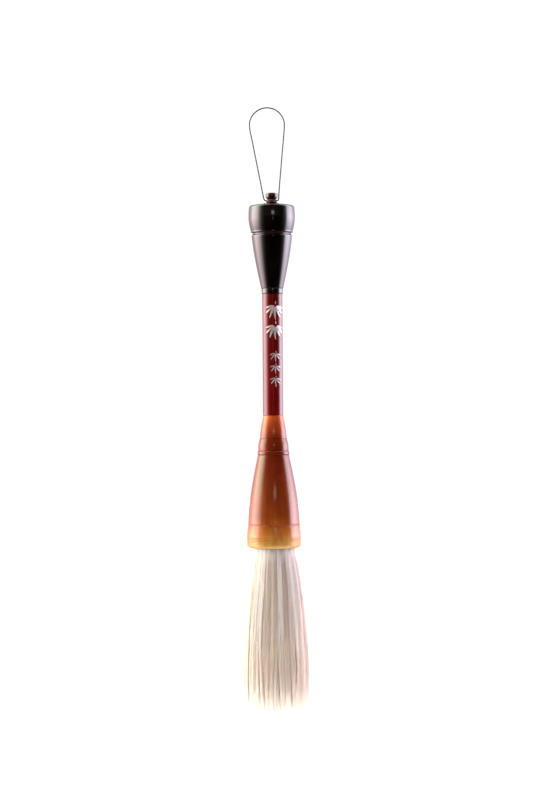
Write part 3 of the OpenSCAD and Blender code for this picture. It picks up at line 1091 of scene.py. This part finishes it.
def growStray(setup, rng, count):
    # single hairs that stand away from the tuft, most of them low on the left
    left = rng.uniform(0, 1, count) < setup["strayLeft"]
    angle = np.where(left, rng.normal(math.pi, 0.45, count), rng.uniform(0, 2 * math.pi, count))
    length = rng.uniform(*setup["strayLength"], count)
    far, near = setup["strayReach"]
    out = np.where(left, rng.uniform(0.0, far, count), rng.uniform(0.0, near, count)) * mm
    rings = setup["rings"]
    share = np.linspace(0, 1, rings)
    down = length[:, None] * share
    bend = np.sin(np.clip((down - 0.1) / 0.75, 0, 1) * math.pi / 2) ** 2
    radius = tuftRadius(down) * 0.985 + out[:, None] * bend
    turn = angle[:, None] + rng.normal(0, 0.12, count)[:, None] * np.sin(
        down * rng.uniform(2, 6, count)[:, None])
    points = np.stack([radius * np.cos(turn), radius * np.sin(turn),
                       mouthZ - down * freeLength], axis=2)
    return points, np.full((count, rings), setup["strayTone"]), down


def addAttributes(mesh, tone, along):
    for label, values in (("tone", tone), ("along", along)):
        layer = mesh.attributes.new(label, "FLOAT", "POINT")
        layer.data.foreach_set("value", np.asarray(values, dtype=np.float32))


def strandMesh(name, strands, thickness):
    # closed three-sided tubes that thin out to a point
    points, tone, down = strands
    count, rings, _ = points.shape
    along = np.gradient(points, axis=1)
    along /= np.linalg.norm(along, axis=2, keepdims=True)
    outward = points * (1, 1, 0)
    outward /= np.maximum(np.linalg.norm(outward, axis=2, keepdims=True), 1e-9)
    side = np.cross(along, outward)
    side /= np.maximum(np.linalg.norm(side, axis=2, keepdims=True), 1e-9)
    normal = np.cross(side, along)
    share = np.linspace(0, 1, rings)
    width = thickness * (1 - share ** 2.2 * 0.92)
    sides = 3
    vertices = np.empty((count, rings, sides, 3))
    for k in range(sides):
        a = 2 * math.pi * k / sides
        vertices[:, :, k] = points + width[None, :, None] * (
            normal * math.cos(a) + side * math.sin(a))
    firsts = np.arange(count)[:, None, None] * rings * sides
    ring = np.arange(rings - 1)[None, :, None] * sides
    k = np.arange(sides)[None, None, :]
    j = (k + 1) % sides
    quads = np.stack([firsts + ring + k, firsts + ring + sides + k,
                      firsts + ring + sides + j, firsts + ring + j], axis=3).reshape(-1, 4)
    caps = np.stack([np.arange(count) * rings * sides + i for i in (0, 1, 2)], axis=1)
    ends = caps[:, ::-1] + (rings - 1) * sides
    mesh = bpy.data.meshes.new(name)
    mesh.vertices.add(count * rings * sides)
    mesh.vertices.foreach_set("co", vertices.astype(np.float32).ravel())
    loops = np.concatenate([quads.ravel(), caps.ravel(), ends.ravel()])
    mesh.loops.add(len(loops))
    mesh.loops.foreach_set("vertex_index", loops.astype(np.int32))
    sizes = np.concatenate([np.full(len(quads), 4), np.full(2 * count, 3)])
    starts = np.concatenate([[0], np.cumsum(sizes)[:-1]])
    mesh.polygons.add(len(sizes))
    mesh.polygons.foreach_set("loop_start", starts.astype(np.int32))
    mesh.polygons.foreach_set("use_smooth", np.ones(len(sizes), bool))
    mesh.update(calc_edges=True)
    addAttributes(mesh, np.repeat(tone.ravel(), sides), np.repeat(down.ravel(), sides))
    # each strand has its own narrow column of the flat map, its root at the bottom
    column = np.repeat(np.arange(count), rings * sides)
    across = np.tile(np.array([0.15, 0.5, 0.85]), count * rings)
    upward = np.tile(np.repeat(np.linspace(0.02, 0.98, rings), sides), count)
    flatMap = np.stack([(column + across) / count, upward], axis=1)
    uv = mesh.uv_layers.new(name="OFBake")
    uv.data.foreach_set("uv", flatMap[loops].astype(np.float32).ravel())
    piece = bpy.data.objects.new(name, mesh)
    bpy.context.scene.collection.objects.link(piece)
    return piece


hairLook = {
    "shader": {"IOR": 1.55, "Roughness": 0.45, "Sheen Weight": 0.1, "Sheen Roughness": 0.4},
    # roots: painted shade, a dimmer and greyer hair colour near the mouth, where the rim shades
    # the hair
    "roots": (0.905, 0.860, 0.835),
    "dark": (0.660, 0.535, 0.450),      # the tan streaks
    "pale": (0.955, 0.905, 0.870),
    "middle": (0.905, 0.765, 0.640),    # tan towards the belly
    # tips: the hair's own warm tone plus a painted glow of light through the thin tips
    "tips": (0.960, 0.870, 0.790),
    "stray": (0.930, 0.880, 0.680),
}


def makeHairMaterial(name, look, pale):
    material, tree, shader = newMaterial(name, look["shader"])
    tone = addNode(tree, "Attribute", attribute_name="tone").outputs["Fac"]
    along = addNode(tree, "Attribute", attribute_name="along").outputs["Fac"]
    streaked = mixColors(tree, softStep(tree, tone, 0.25, 0.62), look["dark"], pale)
    warmed = mixColors(tree, softStep(tree, along, 0.35, 0.72, 0.0, 0.7), streaked, look["middle"])
    # paler towards the tips: the hair's own tone plus a painted glow of light through the thin
    # tips
    tipToneAndGlow = mixColors(tree, softStep(tree, along, 0.68, 0.92), warmed, look["tips"])
    # painted shade near the roots, where the rim shades the hair
    rootShaded = mixColors(tree, softStep(tree, along, 0.0, 0.10), look["roots"], tipToneAndGlow)
    fine = placeGroup(tree, streaks, {"Across": 1100.0, "Along": 16.0, "Clouds": 60.0,
                                      "Cloud Share": 0.3})
    dimmed = remap(tree, fine.outputs["Value"], {"To Min": 0.84, "To Max": 1.0})
    tree.links.new(timesColor(tree, rootShaded, dimmed), shader.inputs["Base Color"])
    return material


goatHair = makeHairMaterial("goatHair", hairLook, hairLook["pale"])
strayHair = makeHairMaterial("strayHair", hairLook, hairLook["stray"])


def splitStrands(strands, parts):
    # shares the strands out by their direction round the tuft
    order = np.argsort(np.arctan2(strands[0][:, -1, 1], strands[0][:, -1, 0]))
    size = -(-len(order) // parts)
    return [tuple(values[order[i * size:(i + 1) * size]] for values in strands)
            for i in range(parts)]


def makeHair(setup):
    rng = np.random.default_rng(setup["seed"])
    locks, bunches = makeLocks(setup, rng)
    outer = growStrands(setup, rng, locks, bunches, setup["outer"], False)
    inner = growStrands(setup, rng, locks, bunches, setup["inner"], True)
    stray = growStray(setup, rng, setup["stray"])
    innerThickness = setup["thickness"] * setup["innerThicker"]
    made = []
    for i, some in enumerate(splitStrands(outer, 4)):
        made.append(strandMesh("hairOuter%d" % (i + 1), some, setup["thickness"]))
    for i, some in enumerate(splitStrands(inner, 2)):
        made.append(strandMesh("hairInner%d" % (i + 1), some, innerThickness))
    for piece in made:
        piece.data.materials.append(goatHair)
    made.append(strandMesh("hairStray", stray, setup["thickness"] * setup["strayThinner"]))
    made[-1].data.materials.append(strayHair)
    return made


bodySetup = {
    "sides": 180,
    "rows": 46,
    "start": -0.05,         # shares of the free length: where it starts,
    "closing": 0.58,        # where it begins to close
    "end": 0.88,            # and where it ends
    "closed": 0.92,
    "depth": 0.91,          # share of the radius of the tuft
    "ribDepth": 0.015,
    "tone": 0.7,
}


def makeHairBody(setup):
    # the closed mass under the loose strands, ribbed like locks
    sides, rows = setup["sides"], setup["rows"]
    start, closing, end = setup["start"], setup["closing"], setup["end"]
    vertices = [(0.0, 0.0, mouthZ + 8 * mm)]
    for i in range(rows):
        share = mix(start, end, i / (rows - 1))
        close = 1 - smooth((share - closing) / (end - closing)) * setup["closed"]
        for k in range(sides):
            a = 2 * math.pi * k / sides
            rib = (0.5 * math.sin(13 * a + 2 * share) + 0.35 * math.sin(29 * a - 3 * share)
                   + 0.15 * math.sin(53 * a))
            depth = setup["depth"] + setup["ribDepth"] * rib * smooth(share * 4)
            r = float(tuftRadius(share)) * close * depth
            vertices.append((r * math.cos(a), r * math.sin(a), mouthZ - share * freeLength))
    vertices.append((0.0, 0.0, mouthZ - (end + 0.01) * freeLength))
    last = 1 + (rows - 1) * sides
    faces = []
    for k in range(sides):
        j = (k + 1) % sides
        faces.append([0, 1 + k, 1 + j])
        faces.append([len(vertices) - 1, last + j, last + k])
        for i in range(rows - 1):
            a = 1 + i * sides
            b = a + sides
            faces.append([a + k, b + k, b + j, a + j])
    body = newObject("hairBody", vertices, faces, 0)
    heights = [min(1.0, max(0.0, (mouthZ - v[2]) / freeLength)) for v in vertices]
    addAttributes(body.data, [setup["tone"]] * len(vertices), heights)
    body.data.materials.append(goatHair)
    return body


hairPieces = makeHair(hairSetup) + [makeHairBody(bodySetup)]
for piece in hairPieces:
    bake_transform(piece)
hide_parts("hair_core", "hair_mantle")
print("hair:", sum(len(p.data.vertices) for p in hairPieces), "vertices")


# ---- inner CAD parts keep their shape and get real finishes
innerLooks = {
    "tail_pin": (plainWood, "plain_wood"),
    "tail_dowel": (plainWood, "plain_wood"),
    "ferrule_dowel": (plainWood, "plain_wood"),
    "root_resin": (resin, "resin"),
    "hair_root": (goatHair, "hair"),
    "root_binding": (threadFibre, "thread"),
}
for node, (material, slotName) in innerLooks.items():
    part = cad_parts[node]
    part.data.materials.clear()
    part.data.materials.append(material)


# ---- studio
studioSetup = {
    "wallLevel": 15.0,
    "wallSoftShare": 0.26,              # the walls light matt surfaces less than they gleam
    "leftTint": (1.0, 0.80, 0.81),
    "leftHighTint": (1.05, 1.12, 0.90),
    "rightTint": (0.94, 0.84, 1.0),
    "floorLevel": 2.2,
    "floorTint": (1.0, 0.96, 0.92),
    "fillFrom": (-0.86, -0.50, 0.05),   # soft light from the left and a little in front
    "fillLevel": 1.15,
    "fillTint": (1.0, 0.95, 0.90),
    "unseenShare": 0.03,                # how much of those two shows in mirror images
    "frontGlow": (0.15, 0.08, 0.075),
    "keyPower": 0.85,
    "keySize": (0.5, 0.17),
    "keyPlace": (0.2, -2.06, 0.235),
    "stripPower": 0.12,
    "stripSize": (0.07, 0.34),
    "stripPlace": (0.2, -2.06, -0.22),
    "tuftPower": 1.5,
    "tuftSize": (0.34, 0.2),
    "tuftPlace": (-0.03, -0.26, -0.70),
    "floorDrop": 0.06,
}
# brightness round the room: 0 is behind the brush, 0.5 is beside it, 1 is the camera's side
leftWall = [(0.0, 0.10), (0.117, 0.12), (0.25, 0.42), (0.36, 0.95), (0.46, 1.0), (0.57, 0.92),
            (0.64, 0.70), (0.70, 0.40), (0.76, 0.15), (0.82, 0.04), (0.9, 0.0)]
rightWall = [(0.0, 0.10), (0.117, 0.15), (0.25, 0.55), (0.36, 1.0), (0.48, 1.0), (0.55, 0.85),
             (0.60, 0.35), (0.64, 0.12), (0.70, 0.03), (0.8, 0.002), (0.9, 0.0)]
# brightness of the walls by the height of the direction, 0 down and 1 up
wallHeight = [(0.0, 0.04), (0.2, 0.10), (0.26, 0.18), (0.34, 0.36), (0.45, 0.8), (0.51, 1.0),
              (0.56, 0.95), (0.62, 0.78), (0.8, 0.74), (0.95, 0.4)]


def greyRamp(tree, value, stops):
    return rampBetween(tree, value, [(place, (level,) * 3) for place, level in stops])


def makeStudio(setup):
    # a pale room: bright walls at both sides, a dim back, a dark front, a lit floor
    world = bpy.data.worlds.new("studio")
    bpy.context.scene.world = world
    world.use_nodes = True
    tree = world.node_tree
    tree.nodes.clear()
    output = addNode(tree, "OutputWorld")
    place = addNode(tree, "TexCoord")
    split = addNode(tree, "SeparateXYZ")
    tree.links.new(place.outputs["Generated"], split.inputs[0])
    x, y, z = split.outputs
    reach = math2(tree, "SQRT", math2(tree, "ADD", math2(tree, "MULTIPLY", x, x),
                                      math2(tree, "MULTIPLY", y, y)), 0.0)
    reach = math2(tree, "MAXIMUM", reach, 0.0001)
    facing = math2(tree, "MULTIPLY_ADD", math2(tree, "DIVIDE", y, reach), -0.5)
    facing.node.inputs[2].default_value = 0.5
    toRight = softStep(tree, math2(tree, "DIVIDE", x, reach), -0.15, 0.15)
    height = math2(tree, "MULTIPLY_ADD", z, 0.5)
    height.node.inputs[2].default_value = 0.5
    leftTint = mixColors(tree, softStep(tree, height, 0.54, 0.62), setup["leftTint"],
                         setup["leftHighTint"])
    left = timesColor(tree, greyRamp(tree, facing, leftWall), leftTint)
    right = timesColor(tree, greyRamp(tree, facing, rightWall), setup["rightTint"])
    walls = mixColors(tree, toRight, left, right)
    walls = timesColor(tree, walls, greyRamp(tree, height, wallHeight))
    walls = timesColor(tree, walls, (setup["wallLevel"],) * 3)
    path = addNode(tree, "LightPath")
    diffuse = path.outputs["Is Diffuse Ray"]
    walls = timesColor(tree, walls, remap(tree, diffuse, {"To Min": 1.0,
                                                          "To Max": setup["wallSoftShare"]}))
    ground = timesColor(tree, softStep(tree, z, -0.45, -0.85),
                        tuple(setup["floorLevel"] * c for c in setup["floorTint"]))
    towards = addNode(tree, "VectorMath", {1: Vector(setup["fillFrom"]).normalized()},
                      operation="DOT_PRODUCT")
    tree.links.new(place.outputs["Generated"], towards.inputs[0])
    fill = timesColor(tree, softStep(tree, towards.outputs["Value"], 0.55, 1.0),
                      tuple(setup["fillLevel"] * c for c in setup["fillTint"]))
    seen = remap(tree, diffuse, {"To Min": setup["unseenShare"], "To Max": 1.0})
    hidden = timesColor(tree, joinColors(tree, "ADD", ground, fill), seen)
    glow = timesColor(tree, softStep(tree, facing, 0.8, 0.97), setup["frontGlow"])
    glow = timesColor(tree, glow, softStep(tree, z, 0.03, 0.12))
    light = joinColors(tree, "ADD", joinColors(tree, "ADD", walls, hidden), glow)
    room = addNode(tree, "Background")
    tree.links.new(light, room.inputs[0])
    plain = addNode(tree, "Background", {"Color": (1, 1, 1, 1), "Strength": 1.05})
    chosen = addNode(tree, "MixShader")
    for index, socket in enumerate((path.outputs["Is Camera Ray"], room.outputs[0],
                                    plain.outputs[0])):
        tree.links.new(socket, chosen.inputs[index])
    tree.links.new(chosen.outputs[0], output.inputs[0])
    cool = (0.82, 1.0, 0.98)
    for label in ("key", "strip"):
        makePanel(label + "Panel", setup[label + "Power"], setup[label + "Size"],
                  setup[label + "Place"], cool, 0.12)
    fill = makePanel("tuftPanel", setup["tuftPower"], setup["tuftSize"], setup["tuftPlace"],
                     setup["floorTint"], -0.25)
    fill.visible_camera = False
    fill.visible_glossy = False     # it lifts the tuft from below without a mirror image


def makePanel(name, power, size, place, color, drop):
    # an area light facing the brush's axis, aimed lower than itself by the drop
    light = bpy.data.lights.new(name, "AREA")
    light.shape = "RECTANGLE"
    light.energy = power
    light.size, light.size_y = size
    light.color = color
    lamp = bpy.data.objects.new(name, light)
    bpy.context.scene.collection.objects.link(lamp)
    lamp.location = place
    aim = Vector((0, 0, place[2] - drop)) - lamp.location
    lamp.rotation_mode = "QUATERNION"
    lamp.rotation_quaternion = aim.to_track_quat("-Z", "Y")
    return lamp


def makeFloor(setup):
    # a wide pale disc under the hanging brush
    height = cadBox[0][2] - setup["floorDrop"]
    rings = [0.4, 1.0, 2.5, 6.0]
    sides = 64
    vertices = [(0.0, 0.0, height)]
    for radius in rings:
        for k in range(sides):
            a = 2 * math.pi * k / sides
            vertices.append((radius * math.cos(a), radius * math.sin(a), height))
    faces = [[0, 1 + k, 1 + (k + 1) % sides] for k in range(sides)]
    for i in range(len(rings) - 1):
        for k in range(sides):
            j = (k + 1) % sides
            a = 1 + i * sides
            b = a + sides
            faces.append([a + k, b + k, b + j, a + j])
    floor = newObject("paleFloor", vertices, faces, 0)
    material, tree, shader = newMaterial("paleFloor", {"Roughness": 0.8})
    paper = placeGroup(tree, streaks, {"Across": 30.0, "Along": 30.0, "Clouds": 8.0,
                                       "Cloud Share": 0.5})
    color = rampBetween(tree, paper.outputs["Value"], [(0.0, (0.90,) * 3), (1.0, (0.94,) * 3)])
    tree.links.new(color, shader.inputs["Base Color"])
    floor.data.materials.append(material)
    floor.visible_diffuse = False
    floor.visible_glossy = False
    floor.visible_transmission = False
    floor.visible_shadow = False


makeStudio(studioSetup)
makeFloor(studioSetup)
bpy.context.scene.view_settings.view_transform = "Standard"
print("studio: world, panels and floor")
